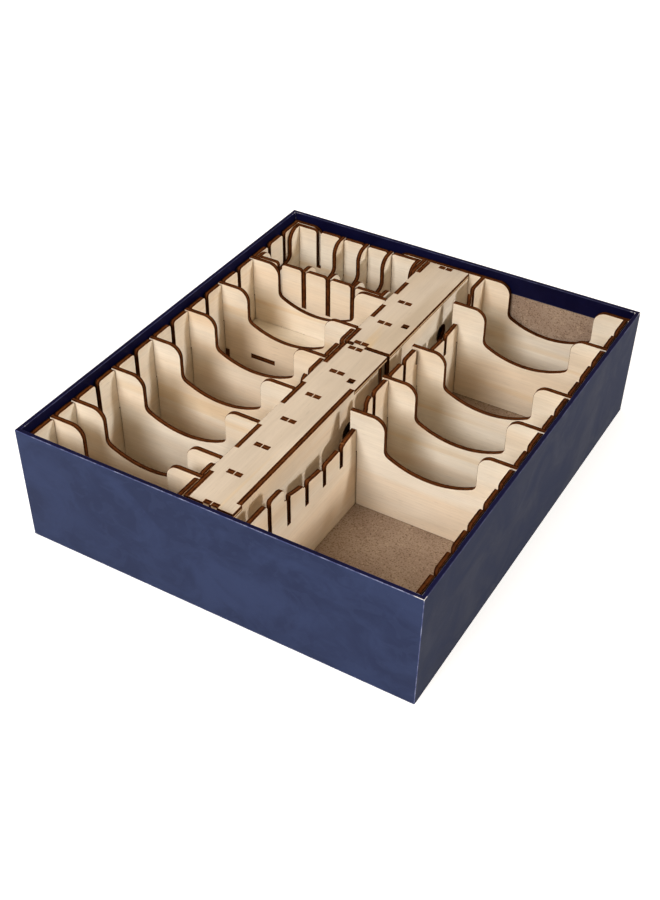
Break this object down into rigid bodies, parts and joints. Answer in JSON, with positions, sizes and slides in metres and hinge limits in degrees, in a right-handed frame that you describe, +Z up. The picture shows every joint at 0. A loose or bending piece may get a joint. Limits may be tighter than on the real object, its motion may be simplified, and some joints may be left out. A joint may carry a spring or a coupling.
{
  "type": "board game box insert organizer",
  "caption": "Laser-cut plywood card organizer in an open game box: comb racks with lift-out scooped dividers, a cross tray, a raised bin and a hollow spine.",
  "frame": {"origin": "centre of the box's underside", "axes": "+X from the left card row to the right card row, +Y from the front short side to the rear, +Z up"},
  "size_m": [0.2506, 0.2874, 0.0753],
  "materials": {
    "birch_ply": "bare laser-cut birch plywood, satin",
    "spine_birch": "bare birch plywood, slightly greyer face",
    "chipboard": "grey-brown speckled chipboard, matt",
    "printed_wrap": "dark navy printed paper, satin laminate"
  },
  "bodies": {
    "game_box": {"box_board_tray": "chipboard", "box_wrap": "printed_wrap"},
    "main_frame": {"frame_left_outer_comb": "birch_ply", "frame_left_inner_comb": "birch_ply", "frame_right_inner_comb": "birch_ply", "frame_right_outer_comb": "birch_ply", "frame_front_panel": "birch_ply", "frame_rear_panel": "birch_ply"},
    "raised_bin": {"bin_front_panel": "birch_ply", "bin_rear_panel": "birch_ply", "bin_floor": "birch_ply", "bin_rail_left": "birch_ply", "bin_rail_right": "birch_ply"},
    "cross_tray": {"cross_tray_front_comb": "birch_ply", "cross_tray_rear_comb": "birch_ply", "cross_tray_left_side": "birch_ply", "cross_tray_right_side": "birch_ply", "cross_tray_floor": "birch_ply"},
    "spine_front": {"spine_front_top_plate": "spine_birch", "spine_front_left_wall": "birch_ply", "spine_front_right_wall": "birch_ply", "spine_front_front_end": "birch_ply", "spine_front_rear_end": "birch_ply", "spine_front_rib_1": "birch_ply", "spine_front_rib_2": "birch_ply", "spine_front_rib_3": "birch_ply", "spine_front_rib_4": "birch_ply", "spine_front_rib_5": "birch_ply"},
    "spine_rear": {"spine_rear_top_plate": "spine_birch", "spine_rear_left_wall": "birch_ply", "spine_rear_right_wall": "birch_ply", "spine_rear_front_end": "birch_ply", "spine_rear_rear_end": "birch_ply", "spine_rear_rib_1": "birch_ply", "spine_rear_rib_2": "birch_ply"},
    "left_divider_1": {"left_divider_1": "birch_ply"},
    "left_divider_2": {"left_divider_2": "birch_ply"},
    "left_divider_3": {"left_divider_3": "birch_ply"},
    "left_divider_4": {"left_divider_4": "birch_ply"},
    "left_divider_5": {"left_divider_5": "birch_ply"},
    "cross_divider_1": {"cross_divider_1": "birch_ply"},
    "cross_divider_2": {"cross_divider_2": "birch_ply"},
    "cross_divider_3": {"cross_divider_3": "birch_ply"},
    "right_divider_1": {"right_divider_1": "birch_ply"},
    "right_divider_2": {"right_divider_2": "birch_ply"},
    "right_divider_3": {"right_divider_3": "birch_ply"},
    "right_divider_4": {"right_divider_4": "birch_ply"}
  },
  "joints": [
    {"name": "main_frame_lift", "type": "slide", "parent": "game_box", "child": "main_frame", "axis": [0, 0, 1], "range_m": [0, 0.08]},
    {"name": "spine_front_lift", "type": "slide", "parent": "game_box", "child": "spine_front", "axis": [0, 0, 1], "range_m": [0, 0.08]},
    {"name": "spine_rear_lift", "type": "slide", "parent": "game_box", "child": "spine_rear", "axis": [0, 0, 1], "range_m": [0, 0.08]},
    {"name": "raised_bin_lift", "type": "slide", "parent": "main_frame", "child": "raised_bin", "axis": [0, 0, 1], "range_m": [0, 0.08]},
    {"name": "cross_tray_lift", "type": "slide", "parent": "main_frame", "child": "cross_tray", "axis": [0, 0, 1], "range_m": [0, 0.08]},
    {"name": "left_divider_1_lift", "type": "slide", "parent": "main_frame", "child": "left_divider_1", "axis": [0, 0, 1], "range_m": [0, 0.08]},
    {"name": "left_divider_2_lift", "type": "slide", "parent": "main_frame", "child": "left_divider_2", "axis": [0, 0, 1], "range_m": [0, 0.08]},
    {"name": "left_divider_3_lift", "type": "slide", "parent": "main_frame", "child": "left_divider_3", "axis": [0, 0, 1], "range_m": [0, 0.08]},
    {"name": "left_divider_4_lift", "type": "slide", "parent": "main_frame", "child": "left_divider_4", "axis": [0, 0, 1], "range_m": [0, 0.08]},
    {"name": "left_divider_5_lift", "type": "slide", "parent": "main_frame", "child": "left_divider_5", "axis": [0, 0, 1], "range_m": [0, 0.08]},
    {"name": "cross_divider_1_lift", "type": "slide", "parent": "cross_tray", "child": "cross_divider_1", "axis": [0, 0, 1], "range_m": [0, 0.08]},
    {"name": "cross_divider_2_lift", "type": "slide", "parent": "cross_tray", "child": "cross_divider_2", "axis": [0, 0, 1], "range_m": [0, 0.08]},
    {"name": "cross_divider_3_lift", "type": "slide", "parent": "cross_tray", "child": "cross_divider_3", "axis": [0, 0, 1], "range_m": [0, 0.08]},
    {"name": "right_divider_1_lift", "type": "slide", "parent": "main_frame", "child": "right_divider_1", "axis": [0, 0, 1], "range_m": [0, 0.08]},
    {"name": "right_divider_2_lift", "type": "slide", "parent": "main_frame", "child": "right_divider_2", "axis": [0, 0, 1], "range_m": [0, 0.08]},
    {"name": "right_divider_3_lift", "type": "slide", "parent": "main_frame", "child": "right_divider_3", "axis": [0, 0, 1], "range_m": [0, 0.08]},
    {"name": "right_divider_4_lift", "type": "slide", "parent": "main_frame", "child": "right_divider_4", "axis": [0, 0, 1], "range_m": [0, 0.08]}
  ]
}
